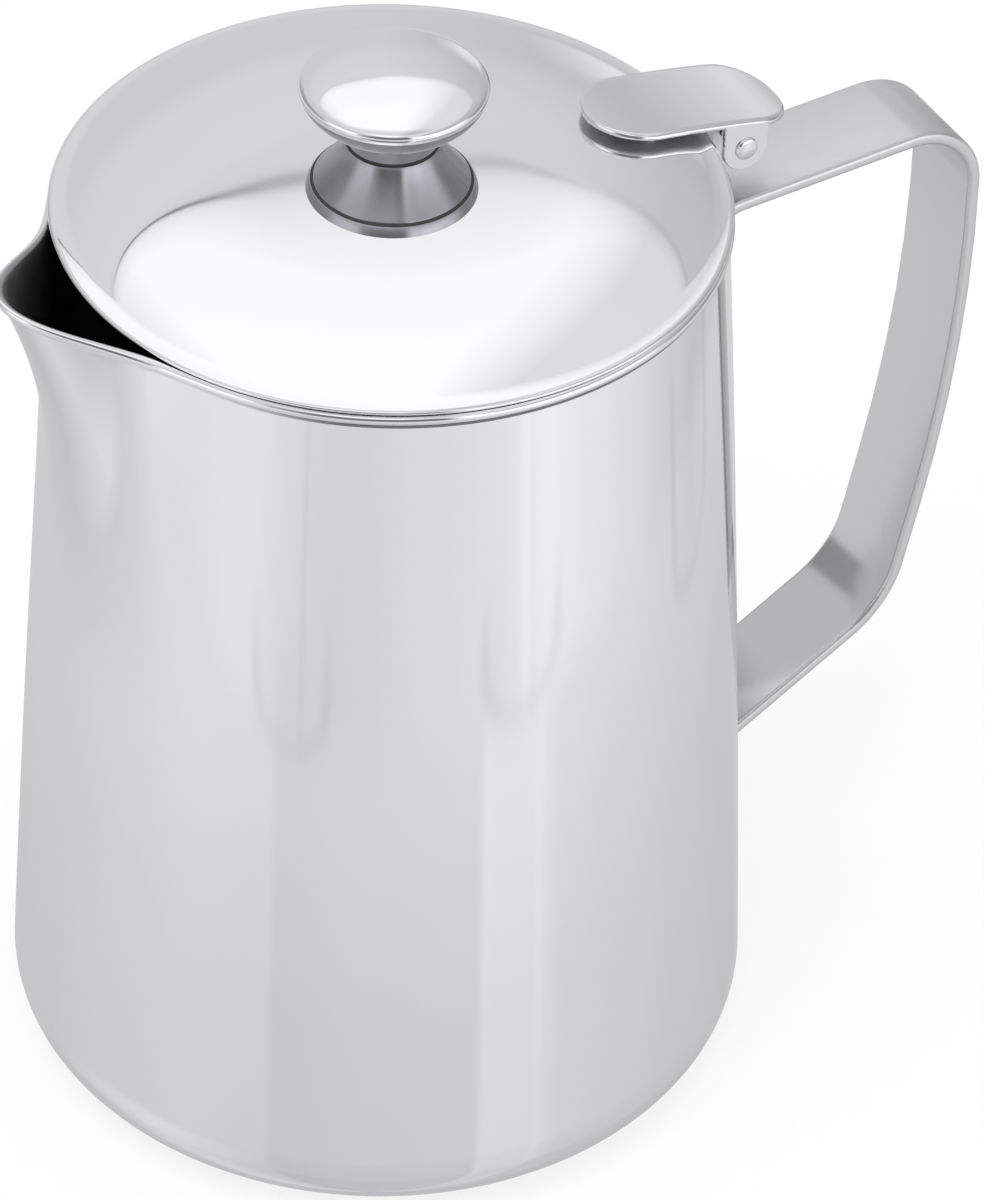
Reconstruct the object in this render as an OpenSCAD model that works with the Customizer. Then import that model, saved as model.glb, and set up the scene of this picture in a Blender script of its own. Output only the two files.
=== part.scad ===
// Hot milk jug with a hinged lid, in polished stainless sheet.
// The origin is the middle of the foot. +Z is up, the handle points to +X and the spout to -X.

/* [Jug body] */
// Height of the rolled rim above the table
rim_h = 169.3; // [120:0.1:220]
// Outside diameter of the wall just under the rim
mouth_d = 110.4; // [90:0.1:120]
// Outside diameter of the belly just above the foot
belly_d = 129.7; // [115:0.1:150]
// How far the wall swells beyond a straight taper at half height
wall_swell = 0.5; // [0:0.1:3]
// Thickness of the body sheet
sheet_t = 0.9; // [0.6:0.1:1.5]
// Radius of the rounded bottom edge
corner_r = 9.5; // [6:0.1:14]
// Radius of the rolled rim
rim_bead_r = 0.9; // [0.6:0.1:1.5]
// Diameter of the plate that closes the bottom
base_plate_d = 99.4; // [80:0.1:104]
// Gap of the weld between two pressed pieces
weld_gap = 0.05; // [0.02:0.01:0.1]
// Gap of the seam weld round the base plate
seam_gap = 0.3; // [0.3:0.1:0.6]
// Height of the hollow under the middle of the base
base_recess_h = 2.4; // [1:0.1:4]
// Width of the flat ring of the base plate that the jug stands on
base_ring_w = 7; // [4:0.5:12]
// Width of the slope between that ring and the raised middle
base_slope_w = 4; // [2:0.5:8]

/* [Spout] */
// How far the spout's tip reaches out beyond the round mouth
spout_reach = 15.1; // [8:0.1:20]
// How far the tip stands above the rim
spout_rise = 4.7; // [2:0.1:8]
// How far down the wall the spout's swell runs
spout_drop = 80; // [50:1:120]
// Half width of the spout at the rim, as an angle round the axis
spout_spread_deg = 13.6; // [10:0.1:20]
// Half width of the swell where it dies out, as an angle round the axis
swell_spread_deg = 21; // [15:0.1:30]

/* [Lid] */
// How far the lid's edge reaches out beyond the jug's mouth
lid_overhang = 0.8; // [0.5:0.1:2]
// Thickness of the lid sheet
lid_t = 0.8; // [0.6:0.1:1.2]
// Radius of the rolled edge of the lid
lid_bead_r = 0.9; // [0.7:0.1:1.4]
// Gap between the closed lid's edge and the jug's rim
lid_gap = 0.3; // [0.2:0.05:0.5]
// Width of the flat brim inside the rolled edge
brim_w = 1.7; // [1:0.1:5]
// Rise of the dome above the brim
dome_rise = 2.4; // [1:0.1:3]
// Diameter of the flat seat pressed for the knob
seat_d = 30; // [30:0.5:40]
// Gap between the locating ring under the lid and the inside of the jug's mouth
ring_gap = 1.7; // [1.6:0.1:4]
// Thickness of the locating ring
ring_t = 0.8; // [0.6:0.1:1.2]
// Depth of the locating ring below the brim
ring_h = 3.2; // [2:0.1:5]

/* [Handle] */
// Width of the strap
strap_w = 18.6; // [14:0.1:24]
// Thickness of the strap
strap_t = 2.4; // [1.6:0.1:3]
// Radius of the strap's rounded edges
strap_edge_r = 0.9; // [0.3:0.1:1]
// How far below the rim the strap's middle line leaves the top bend
strap_drop = 15.1; // [14.5:0.1:25]
// Length of each foot that lies against the wall
foot_len = 11; // [6:0.5:16]
// Radius of the bend above the upper foot
root_bend_r = 5.5; // [4:0.1:8]
// Upward slope of the strap's top, in degrees
top_slope_deg = 3.5; // [0:0.5:8]
// Length of the straight top of the strap
top_len = 33; // [26:0.1:45]
// Radius of the upper corner of the grip
top_corner_r = 13; // [8:0.1:18]
// Height above the table at which the lower corner of the grip begins
low_grip_z = 59.3; // [50:0.1:80]
// Turn of the long curve of the grip, in degrees
grip_turn_deg = 14; // [10:0.5:20]
// Radius of the lower corner of the grip
low_corner_r = 20; // [12:0.1:26]
// Turn of the lower corner of the grip, in degrees
low_turn_deg = 47; // [35:0.5:55]
// Radius of the bend above the lower foot
low_bend_r = 8; // [5:0.1:12]

/* [Hinge] */
// Diameter of the hinge pin
pin_d = 3; // [2.4:0.1:3.6]
// Distance of the pin's axis outside the edge of the lid
pin_out = 6; // [5:0.1:8]
// Distance of the pin's axis below the jug's rim
pin_drop = 2.9; // [2:0.1:4]
// Clearance round the pin in its knuckle
pin_clear = 0.05; // [0.02:0.01:0.1]
// Diameter of the pin's riveted heads
head_d = 4.2; // [3.8:0.1:5]
// Height of the pin's riveted heads
head_h = 0.8; // [0.5:0.1:1.2]
// Thickness of the leaf
leaf_t = 1.2; // [0.8:0.1:1.5]
// Length of the ears along the leaf
ear_len = 8.4; // [7:0.1:10]
// Width of the knuckle between the ears
knuckle_w = 6.4; // [4:0.1:12]
// Reach of the leaf over the lid, from the pin's axis
leaf_in = 25.5; // [20:0.1:32]
// Reach of the thumb tab outwards, from the pin's axis
leaf_out = 10.6; // [8:0.1:14]
// Height of the leaf's top face above the pin's axis
leaf_over_pin = 5.3; // [5.1:0.1:7]
// Fall of the thumb tab's end below the leaf's top over the pin
tab_fall = 3; // [2:0.1:5]
// Climb of the leaf's inner end above the leaf's top over the pin
leaf_climb = 3.6; // [3.5:0.1:6]
// Thickness of the strip that is curled into the knuckle
knuckle_t = 1.2; // [0.8:0.1:1.5]
// Diameter of the pressed weld dimples under the leaf
dimple_d = 4; // [3:0.1:5]

/* [Knob] */
// Diameter of the knob's cap
cap_d = 31; // [24:0.1:40]
// Height of the cap's widest line above the lid
cap_z = 20.2; // [17:0.1:28]
// Height of the cap's crown above its widest line
cap_crown_h = 2.4; // [2:0.1:6]
// Depth of the cap's underside below its widest line
cap_under_h = 5.5; // [3:0.1:7]
// Diameter of the collar under the cap
collar_d = 17.9; // [14:0.1:20]
// Diameter of the collar at its lower edge
collar_low_d = 14.8; // [12:0.1:15.4]
// Height of the collar's lower edge above the lid
collar_z = 9.8; // [8:0.1:11]
// Diameter of the cone's lower edge
cone_d = 26; // [22:0.1:27]
// Diameter of the cone's neck
neck_d = 15.6; // [12:0.1:17]
// Diameter of the base ring
knob_ring_d = 28.2; // [27:0.1:30]
// Height of the base ring
knob_ring_h = 1.7; // [1:0.1:3]
// Height of the dark groove between the base ring and the cone
groove_h = 0.35; // [0.2:0.05:0.6]
// Thickness of the dark washer between the cone and the collar
spacer_t = 0.4; // [0.2:0.05:0.8]
// Diameter of the stud that holds the knob
stud_d = 4; // [3:0.1:5]
// Clearance round the stud in the pieces that it passes through
stud_clear = 0.1; // [0.05:0.05:0.3]
// Depth of the stud inside the cap and collar
stud_in_cap = 8; // [5:0.1:10]
// Diameter of the washer under the lid
washer_d = 12; // [9:0.1:16]
// Thickness of the washer under the lid
washer_t = 0.8; // [0.5:0.1:1.5]
// Width across the flats of the nut under the lid
nut_flats = 7; // [5.5:0.1:8]
// Height of the nut under the lid
nut_h = 3.2; // [2:0.1:5]
// Length of stud that shows past the nut
stud_past = 1; // [0.2:0.1:2]

/* [Hidden] */
$fn = 72;

// Overrun of every cutting shape beyond the piece that it cuts
over = 1;

// Steps round the body, round its bottom edge, up its outside and up its inside
round_steps = 64;
corner_steps = 4;
outer_steps = 13;
inner_steps = 11;
bead_steps = 6;
// How much closer the steps round the body lie at the spout than at the handle
spout_crowd_deg = 25;
// Powers that shape the swell under the spout and the spacing of the steps up the wall
swell_power = 3;
level_power = 1.6;

mouth_r = mouth_d / 2;
belly_r = belly_d / 2;
base_hole_r = base_plate_d / 2 + seam_gap;

// Outer radius of the wall at a height, away from the spout
function wall_share(z) = (z - corner_r) / (rim_h - corner_r);
function wall_r(z) = belly_r + (mouth_r - belly_r) * wall_share(z)
                   + wall_swell * 4 * wall_share(z) * (1 - wall_share(z));

// Share of the spout's swell that is left at a height, and its spread there
function swell_share(z) = pow(max(0, 1 - (rim_h - z) / spout_drop), swell_power);
function swell_spread(z) = spout_spread_deg
    + (swell_spread_deg - spout_spread_deg) * min(1, max(0, (rim_h - z) / spout_drop));
function bell(angle, spread) = exp(-pow(angle / spread, 2));

// Angle of one step round the body, measured from the spout
function step_angle(j) = 360 * j / round_steps - spout_crowd_deg * sin(360 * j / round_steps);
function from_spout(angle) = angle > 180 ? angle - 360 : angle;

// One point of the body: a place on the round profile, moved out and up by the spout
function body_point(p, j) =
    let (a = step_angle(j),
         pull = swell_share(p[1]) * bell(from_spout(a), swell_spread(p[1])),
         r = p[0] + spout_reach * pull)
    [-r * cos(a), -r * sin(a), p[1] + spout_rise * pull];

// The round profile of the body, up the outside, over the rolled rim and down the inside
function level(s) = corner_r + (rim_h - 2 * rim_bead_r - corner_r) * (1 - pow(1 - s, level_power));
corner_out = [for (i = [0 : corner_steps]) let (a = 90 * i / corner_steps)
    [belly_r - corner_r * (1 - sin(a)), corner_r * (1 - cos(a))]];
wall_out = [for (i = [1 : outer_steps]) let (z = level(i / outer_steps)) [wall_r(z), z]];
bead_mid_z = rim_h - rim_bead_r;
bead_line = [for (i = [1 : bead_steps]) let (a = -90 + 270 * i / bead_steps)
    [mouth_r + rim_bead_r * cos(a), bead_mid_z + rim_bead_r * sin(a)]];
wall_in = [for (i = [inner_steps - 1 : -1 : 1]) let (z = level(i / inner_steps)) [wall_r(z) - sheet_t, z]];
corner_in = [for (i = [corner_steps : -1 : 0]) let (a = 90 * i / corner_steps)
    [belly_r - corner_r + (corner_r - sheet_t) * sin(a), corner_r - (corner_r - sheet_t) * cos(a)]];
body_profile = concat([[base_hole_r, 0]], corner_out, wall_out, bead_line, wall_in, corner_in,
                      [[base_hole_r, sheet_t]]);

module jug_body() {
    rings = len(body_profile);
    points = [for (i = [0 : rings - 1]) for (j = [0 : round_steps - 1]) body_point(body_profile[i], j)];
    function corner(i, j) = (i % rings) * round_steps + j % round_steps;
    faces = [for (i = [0 : rings - 1]) for (j = [0 : round_steps - 1])
        each [[corner(i, j), corner(i + 1, j), corner(i + 1, j + 1)],
              [corner(i, j), corner(i + 1, j + 1), corner(i, j + 1)]]];
    color("silver") polyhedron(points, faces);
}

// The bottom of the jug is a pressed disc, raised in the middle
module base_plate() {
    r_out = base_plate_d / 2;
    r_ring = r_out - base_ring_w;
    r_flat = r_ring - base_slope_w;
    color("gainsboro") rotate_extrude() polygon([
        [0, base_recess_h], [r_flat, base_recess_h], [r_ring, 0], [r_out, 0],
        [r_out, sheet_t], [r_ring + sheet_t / 2, sheet_t],
        [r_flat + sheet_t / 2, base_recess_h + sheet_t], [0, base_recess_h + sheet_t]]);
}

// The space that the jug's wall fills, a weld gap larger, for the feet that are bent to it
module wall_core() {
    rotate_extrude() polygon(concat(
        [[0, 0], [belly_r - corner_r, 0]],
        [for (p = corner_out) [p[0] + weld_gap, p[1]]],
        [for (p = wall_out) [p[0] + weld_gap, p[1]]],
        [[wall_out[outer_steps - 1][0] + weld_gap, rim_h], [0, rim_h]]));
}

// Middle line of the strap's feet: pressed to the wall, so their sides wrap round it a little
function foot_sag(z) = wall_r(z) - sqrt(pow(wall_r(z), 2) - pow(strap_w / 2 - strap_edge_r, 2));
function foot_x(z) = wall_r(z) + weld_gap + strap_t / 2 - foot_sag(z);

// The strap's top hangs from the rim, and the grip fills the height down to its lower corner
strap_top_z = rim_h - strap_drop;
grip_end_share = 0.16;
grip_h = strap_top_z - top_corner_r - low_grip_z;
grip_end_len = grip_h * grip_end_share;
grip_r = grip_h * (1 - grip_end_share) / sin(grip_turn_deg);

// Heading of the wall, in degrees from +X towards +Z, going up
up_heading = 90 + atan((belly_r - mouth_r) / (rim_h - corner_r));

// A bend is [radius, turn] with the turn in degrees, positive to the left; a straight is [length, 0]
function step(s, bend) = bend[1] == 0
    ? [s[0] + bend[0] * cos(s[2]), s[1] + bend[0] * sin(s[2]), s[2]]
    : let (k = sign(bend[1]) * bend[0], h = s[2] + bend[1])
      [s[0] + k * (sin(h) - sin(s[2])), s[1] + k * (cos(s[2]) - cos(h)), h];
function walk(s, path, i) = i == 0 ? s : step(walk(s, path, i - 1), path[i - 1]);

root_turn = top_slope_deg - up_heading;
root_rise = root_bend_r * (cos(top_slope_deg) - cos(up_heading));
root_z = strap_top_z - root_rise - foot_len;
strap_start = [foot_x(root_z + foot_len) - foot_len * cos(up_heading), root_z, up_heading];
upper_path = [[foot_len, 0], [root_bend_r, root_turn], [top_len, 0],
              [top_corner_r, -88 - top_slope_deg], [grip_r, -grip_turn_deg], [grip_end_len, 0],
              [low_corner_r, -low_turn_deg]];
low_start = walk(strap_start, upper_path, len(upper_path));
down_heading = up_heading - 180;
low_turn = down_heading - low_start[2];
low_end_dx = low_bend_r * (sin(down_heading) - sin(low_start[2]));
low_end_dz = low_bend_r * (cos(low_start[2]) - cos(down_heading));
function low_z(len) = low_start[1] + len * sin(low_start[2]) + low_end_dz;
function low_reach(z) = (foot_x(z) - low_end_dx - low_start[0]) / cos(low_start[2]);
low_len = low_reach(low_z(low_reach(low_z(low_reach(corner_r + 2 * foot_len)))));
strap_path = concat(upper_path, [[low_len, 0], [low_bend_r, low_turn], [foot_len, 0]]);

// The path is cut into stations: one for a straight, more for a tighter bend
bend_step_deg = 10;
grip_steps = 10;
edge_steps = 3;
function bend_steps(bend) = bend[1] == 0 ? 1 : bend[0] == grip_r ? grip_steps : ceil(abs(bend[1]) / bend_step_deg);
function part_way(bend, share) = bend[1] == 0 ? [bend[0] * share, 0] : [bend[0], bend[1] * share];
stations = concat([strap_start], [for (i = [0 : len(strap_path) - 1])
    let (s = walk(strap_start, strap_path, i), bend = strap_path[i], n = bend_steps(bend))
    for (k = [1 : n]) step(s, part_way(bend, k / n))]);

// Section of the strap: a flat bar with rounded edges, as steps across its width and its thickness
strap_section = [for (q = [0 : 3]) for (k = [0 : edge_steps])
    let (a = 90 * (q + k / edge_steps), side_y = q == 0 || q == 3 ? 1 : -1, side_t = q < 2 ? 1 : -1)
    [side_y * (strap_w / 2 - strap_edge_r) + strap_edge_r * cos(a),
     side_t * (strap_t / 2 - strap_edge_r) + strap_edge_r * sin(a)]];

// The handle is one flat bar, bent round the hand, with a foot at each end on the wall
module handle_strap() {
    m = len(strap_section);
    last = len(stations) - 1;
    points = [for (s = stations) for (p = strap_section)
        [s[0] - p[1] * sin(s[2]), p[0], s[1] + p[1] * cos(s[2])]];
    faces = concat(
        [[for (j = [0 : m - 1]) j]],
        [for (i = [0 : last - 1]) for (j = [0 : m - 1])
            each [[i * m + j, (i + 1) * m + j, (i + 1) * m + (j + 1) % m],
                  [i * m + j, (i + 1) * m + (j + 1) % m, i * m + (j + 1) % m]]],
        [[for (j = [m - 1 : -1 : 0]) last * m + j]]);
    color("lightgray") difference() {
        polyhedron(points, faces);
        wall_core();
    }
}

lid_r = mouth_r + lid_overhang;
pin_x = lid_r + pin_out;
pin_z = rim_h - pin_drop;
pin_r = pin_d / 2;
barrel_r = pin_r + pin_clear + knuckle_t;
root_mid = [strap_start[0] + foot_len * cos(up_heading) + root_bend_r * sin(up_heading),
            strap_start[1] + foot_len * sin(up_heading) - root_bend_r * cos(up_heading)];

// An outline in the XZ plane, drawn out evenly to both sides
module across(width) {
    rotate([90, 0, 0]) linear_extrude(width, center = true) children();
}

// The knuckle is a strip that stands on the strap's first bend, curled round the pin at its top
module hinge_knuckle() {
    color("gray") difference() {
        across(knuckle_w) {
            translate([pin_x, pin_z]) circle(barrel_r);
            translate([pin_x - barrel_r, root_mid[1]]) square([knuckle_t, pin_z - root_mid[1]]);
        }
        translate([pin_x, 0, pin_z]) rotate([90, 0, 0])
            cylinder(h = knuckle_w + 2 * over, r = pin_r + pin_clear, center = true);
        translate([root_mid[0], 0, root_mid[1]]) rotate([90, 0, 0])
            cylinder(h = knuckle_w + 2 * over, r = root_bend_r + strap_t / 2 + weld_gap, center = true);
    }
}

// Top line of the leaf: a straight climb over the lid and a tab that curls down
leaf_top_z = pin_z + leaf_over_pin;
leaf_steps = 6;
leaf_bow_power = 1.4;
tab_bow_power = 2.2;
leaf_fall = leaf_climb * leaf_bow_power * leaf_out / leaf_in;
function leaf_z(x) = x < 0
    ? leaf_top_z + leaf_climb * (1 - pow(1 + x / leaf_in, leaf_bow_power))
    : leaf_top_z - leaf_fall * x / leaf_out - (tab_fall - leaf_fall) * pow(x / leaf_out, tab_bow_power);
leaf_xs = concat([for (i = [0 : leaf_steps]) -leaf_in * (1 - i / leaf_steps)],
                 [for (i = [1 : leaf_steps]) leaf_out * i / leaf_steps]);
tab_r_share = 0.85;
boss_in_share = 0.62;
boss_y_share = 0.42;

// The leaf is a pressed plate over the lid with a rounded end, two ears and a thumb tab
module hinge_leaf() {
    half_w = strap_w / 2;
    tab_r = half_w * tab_r_share;
    ear_r = ear_len / 2;
    boss_x = pin_x - leaf_in * boss_in_share;
    boss_y = half_w * boss_y_share;
    color("silver") difference() {
        union() {
            intersection() {
                across(strap_w) polygon(concat(
                    [for (x = leaf_xs) [pin_x + x, leaf_z(x)]],
                    [for (i = [len(leaf_xs) - 1 : -1 : 0])
                        [pin_x + leaf_xs[i], leaf_z(leaf_xs[i]) - leaf_t]]));
                linear_extrude(rim_h * 2) {
                    translate([pin_x - leaf_in + half_w, 0]) circle(half_w);
                    translate([pin_x - leaf_in + half_w, -half_w]) square([leaf_in - half_w + ear_r, strap_w]);
                    translate([pin_x, -half_w]) square([leaf_out - tab_r, strap_w]);
                    translate([pin_x, tab_r - half_w]) square([leaf_out, strap_w - 2 * tab_r]);
                    for (side = [-1, 1])
                        translate([pin_x + leaf_out - tab_r, side * (half_w - tab_r)]) circle(tab_r);
                }
            }
            for (side = [-1, 1]) translate([0, side * (half_w - leaf_t / 2), 0]) across(leaf_t) {
                translate([pin_x, pin_z]) circle(ear_r);
                polygon([[pin_x - ear_r, pin_z], [pin_x + ear_r, pin_z],
                         [pin_x + ear_r, leaf_z(ear_r) - leaf_t / 2],
                         [pin_x - ear_r, leaf_z(-ear_r) - leaf_t / 2]]);
            }
            for (side = [-1, 1])
                translate([boss_x, side * boss_y, lid_top(norm([boss_x - dimple_d / 2, boss_y])) + weld_gap])
                    cylinder(h = leaf_z(boss_x - pin_x) - leaf_t / 2 - lid_top(boss_x), d = dimple_d);
        }
        translate([pin_x, 0, pin_z]) rotate([90, 0, 0])
            cylinder(h = strap_w + 2 * over, r = pin_r + weld_gap, center = true);
    }
}

// A plain pin with two riveted heads
module hinge_pin() {
    head_r = head_d / 2;
    dome_r = (head_r * head_r + head_h * head_h) / (2 * head_h);
    color("gainsboro") translate([pin_x, 0, pin_z]) rotate([90, 0, 0]) {
        cylinder(h = strap_w + 2 * weld_gap, r = pin_r, center = true);
        for (side = [0, 180]) rotate([side, 0, 0]) translate([0, 0, strap_w / 2 + weld_gap])
            intersection() {
                cylinder(h = head_h, r = head_r);
                translate([0, 0, head_h - dome_r]) sphere(dome_r);
            }
    }
}

bead_r_mid = lid_r - lid_bead_r;
bead_z_mid = rim_h + lid_gap + lid_bead_r;
brim_share = 0.12;
brim_top = bead_z_mid + lid_t * brim_share;
dome_edge_r = bead_r_mid - brim_w;
seat_r = seat_d / 2;
dome_steps = 12;
dome_power = 4;
// Height of the lid's top face at a distance from its middle
function dome_share(r) = min(1, max(0, (r - seat_r) / (dome_edge_r - seat_r)));
function lid_top(r) = brim_top + dome_rise * (1 - pow(dome_share(r), dome_power));
dome_line = [for (i = [0 : dome_steps]) let (r = seat_r + (dome_edge_r - seat_r) * i / dome_steps)
    [r, lid_top(r)]];
lid_z = lid_top(0);
stud_hole_r = stud_d / 2 + stud_clear;

// The lid is a shallow pressed dome with a rolled edge and a hole for the knob's stud
module lid_shell() {
    color("whitesmoke") {
        rotate_extrude() polygon(concat(
            [[stud_hole_r, lid_z]], dome_line, [[bead_r_mid, brim_top], [bead_r_mid, brim_top - lid_t]],
            [for (i = [dome_steps : -1 : 0]) [dome_line[i][0], dome_line[i][1] - lid_t]],
            [[stud_hole_r, lid_z - lid_t]]));
        rotate_extrude() translate([bead_r_mid, bead_z_mid]) circle(lid_bead_r);
    }
}

// A short ring welded under the lid keeps it centred in the mouth
module lid_ring() {
    r_out = mouth_r - sheet_t - ring_gap;
    r_in = r_out - ring_t;
    color("silver") rotate_extrude() polygon([
        [r_in, brim_top - lid_t - ring_h], [r_out, brim_top - lid_t - ring_h],
        [r_out, lid_top(r_out) - lid_t - weld_gap], [r_in, lid_top(r_out) - lid_t - weld_gap]]);
}

ring_r = knob_ring_d / 2;
cone_z = knob_ring_h + groove_h;
cone_top = collar_z - spacer_t;
cone_steps = 8;
cone_power = 1.25;
ring_bevel_share = 0.6;

// The turned ring that the knob stands on, with a narrow spigot that leaves a dark groove
module knob_base_ring() {
    bevel = (ring_r - cone_d / 2) * ring_bevel_share;
    color("darkgray") translate([0, 0, lid_z]) difference() {
        union() {
            rotate_extrude() polygon([[0, 0], [ring_r, 0], [ring_r - bevel, knob_ring_h], [0, knob_ring_h]]);
            cylinder(h = cone_z, d = neck_d);
        }
        translate([0, 0, -over]) cylinder(h = cone_z + 2 * over, r = stud_hole_r);
    }
}

// The brushed cone flares from its neck to the base ring
module knob_cone() {
    r_low = cone_d / 2;
    r_neck = neck_d / 2;
    flare = [for (i = [0 : cone_steps]) let (s = i / cone_steps)
        [r_neck + (r_low - r_neck) * pow(1 - s, cone_power), cone_z + (cone_top - cone_z) * s]];
    color("darkgray") translate([0, 0, lid_z]) rotate_extrude() polygon(concat(
        [[stud_hole_r, cone_z]], flare, [[stud_hole_r, cone_top]]));
}

// A dark washer shows as a thin line between the cone and the collar
module knob_spacer() {
    color("black") translate([0, 0, lid_z + cone_top]) difference() {
        cylinder(h = spacer_t, d = neck_d);
        translate([0, 0, -over]) cylinder(h = spacer_t + 2 * over, r = stud_hole_r);
    }
}

collar_top = cap_z - cap_under_h;

// The brushed collar under the cap narrows to the dark washer
module knob_collar() {
    color("darkgray") translate([0, 0, lid_z + collar_z]) difference() {
        cylinder(h = collar_top - collar_z, d1 = collar_low_d, d2 = collar_d);
        translate([0, 0, -over]) cylinder(h = collar_top - collar_z + 2 * over, r = stud_hole_r);
    }
}

// Shares of the cap's radius and of its heights, from the collar round the edge to the crown
cap_under_shares = [[0.62, -1], [0.78, -0.86], [0.9, -0.6], [0.97, -0.3], [1, 0]];
cap_over_shares = [[0.99, 0.22], [0.96, 0.4], [0.9, 0.53], [0.78, 0.69], [0.6, 0.83], [0.4, 0.93], [0.2, 0.98],
                   [0, 1]];

// The mirror-polished cap, thick at its edge and low in its crown
module knob_cap() {
    r = cap_d / 2;
    color("whitesmoke") translate([0, 0, lid_z]) difference() {
        rotate_extrude() polygon(concat(
            [[0, collar_top]],
            [for (p = cap_under_shares) [r * p[0], cap_z + cap_under_h * p[1]]],
            [for (p = cap_over_shares) [r * p[0], cap_z + cap_crown_h * p[1]]]));
        translate([0, 0, collar_top - over])
            cylinder(h = stud_top - collar_top + over + stud_clear, r = stud_hole_r);
    }
}

stud_top = collar_z + stud_in_cap;
stud_low = -lid_t - washer_t - nut_h - stud_past;

// A threaded stud runs from the cap through the lid
module knob_stud() {
    color("gray") translate([0, 0, lid_z + stud_low]) cylinder(h = stud_top - stud_low, d = stud_d);
}

// The washer under the lid
module lid_washer() {
    color("gray") translate([0, 0, lid_z - lid_t - washer_t]) difference() {
        cylinder(h = washer_t, d = washer_d);
        translate([0, 0, -over]) cylinder(h = washer_t + 2 * over, r = stud_hole_r);
    }
}

// The nut that pulls the knob down on the lid
module lid_nut() {
    color("gray") translate([0, 0, lid_z - lid_t - washer_t - nut_h]) difference() {
        cylinder(h = nut_h, d = nut_flats / cos(30), $fn = 6);
        translate([0, 0, -over]) cylinder(h = nut_h + 2 * over, r = stud_d / 2 + weld_gap);
    }
}

jug_body();
base_plate();
handle_strap();
hinge_knuckle();
hinge_leaf();
hinge_pin();
lid_shell();
lid_ring();
knob_base_ring();
knob_cone();
knob_spacer();
knob_collar();
knob_cap();
knob_stud();
lid_washer();
lid_nut();
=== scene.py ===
import math
import bpy
import bmesh
from mathutils import Matrix, Vector


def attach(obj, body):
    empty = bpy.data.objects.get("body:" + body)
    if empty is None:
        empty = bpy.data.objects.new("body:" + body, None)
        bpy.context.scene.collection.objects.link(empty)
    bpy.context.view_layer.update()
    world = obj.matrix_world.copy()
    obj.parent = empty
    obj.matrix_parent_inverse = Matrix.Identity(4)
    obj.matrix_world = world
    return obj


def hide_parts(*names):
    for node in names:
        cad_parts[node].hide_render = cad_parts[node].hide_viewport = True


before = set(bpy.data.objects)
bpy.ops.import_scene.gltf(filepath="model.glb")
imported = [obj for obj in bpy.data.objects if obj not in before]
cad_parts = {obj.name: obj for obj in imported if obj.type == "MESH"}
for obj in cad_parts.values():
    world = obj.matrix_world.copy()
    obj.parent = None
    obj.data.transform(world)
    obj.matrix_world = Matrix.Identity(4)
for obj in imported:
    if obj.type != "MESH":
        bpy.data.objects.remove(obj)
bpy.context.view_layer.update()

# Camera and studio
# The camera stands in front of the spout's side, about 40 degrees above the table, and leans two degrees.
# The jug stands on a white sheet in a light tent, under one soft lamp. Lengths here are in metres.
scene = bpy.context.scene
scene.view_settings.view_transform = "Standard"
camera_place = (-0.3942, -0.7112, 0.7702)
look = Vector((0.38621, 0.66045, -0.64394)).normalized()
roll = 0.0353
camera_data = bpy.data.cameras.new("camera")
camera_data.sensor_width = 36
camera_data.lens = 185.7
camera = bpy.data.objects.new("camera", camera_data)
scene.collection.objects.link(camera)
scene.camera = camera
side = look.cross(Vector((0, 0, 1))).normalized()
upward = side.cross(look)
side_turned = side * math.cos(roll) + upward * math.sin(roll)
up_turned = upward * math.cos(roll) - side * math.sin(roll)
turn = Matrix((side_turned, up_turned, -look)).transposed()
camera.matrix_world = Matrix.Translation(camera_place) @ turn.to_4x4()


def new_nodes(owner):
    """The node list and link function of a material or world, emptied for a new tree."""
    owner.use_nodes = True
    owner.node_tree.nodes.clear()
    return owner.node_tree.nodes, owner.node_tree.links.new


def math_node(nodes, link, kind, *values, clamp=False):
    """One math step, fed by numbers or sockets; gives back its output."""
    node = nodes.new("ShaderNodeMath")
    node.operation = kind
    node.use_clamp = clamp
    for i, value in enumerate(values):
        if isinstance(value, (int, float)):
            node.inputs[i].default_value = value
        else:
            link(value, node.inputs[i])
    return node.outputs[0]


def ramp_node(nodes, link, value, stops):
    """A soft ramp of greys, a trace cool, from (place, grey) stops."""
    node = nodes.new("ShaderNodeValToRGB")
    node.color_ramp.interpolation = "EASE"
    elements = node.color_ramp.elements
    while len(elements) < len(stops):
        elements.new(0.5)
    for element, (place, grey) in zip(elements, stops):
        element.position = place
        element.color = (grey, grey, grey * 1.008, 1)
    link(value, node.inputs[0])
    return node.outputs[0]


# The steel shows the tent as broad greys. A direction in it is told by its level, from -1 to 1, by how far it
# lies across the camera's line, by how near it points to the camera, and by its turn round the jug, which is
# 0.5 on the camera's side and 0 or 1 behind the jug.
world = bpy.data.worlds.new("light_tent")
scene.world = world
tent_nodes, tent_link = new_nodes(world)
direction = tent_nodes.new("ShaderNodeSeparateXYZ")
tent_link(tent_nodes.new("ShaderNodeTexCoord").outputs["Generated"], direction.inputs[0])


def calc(kind, *values, clamp=False):
    """One math step of the tent."""
    return math_node(tent_nodes, tent_link, kind, *values, clamp=clamp)


def times(value, other):
    """The product of two values."""
    return calc("MULTIPLY", value, other)


def sloped(value, slope, offset):
    """A straight line of a value."""
    return calc("MULTIPLY_ADD", value, slope, offset)


def held(value, slope, offset):
    """A straight line of a value, held between 0 and 1."""
    return calc("MULTIPLY_ADD", value, slope, offset, clamp=True)


def off(value, middle):
    """How far a value is from a middle, either way."""
    return calc("ABSOLUTE", calc("SUBTRACT", value, middle))


def greys(value, stops):
    """One grey ramp of the tent."""
    return ramp_node(tent_nodes, tent_link, value, stops)


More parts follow.
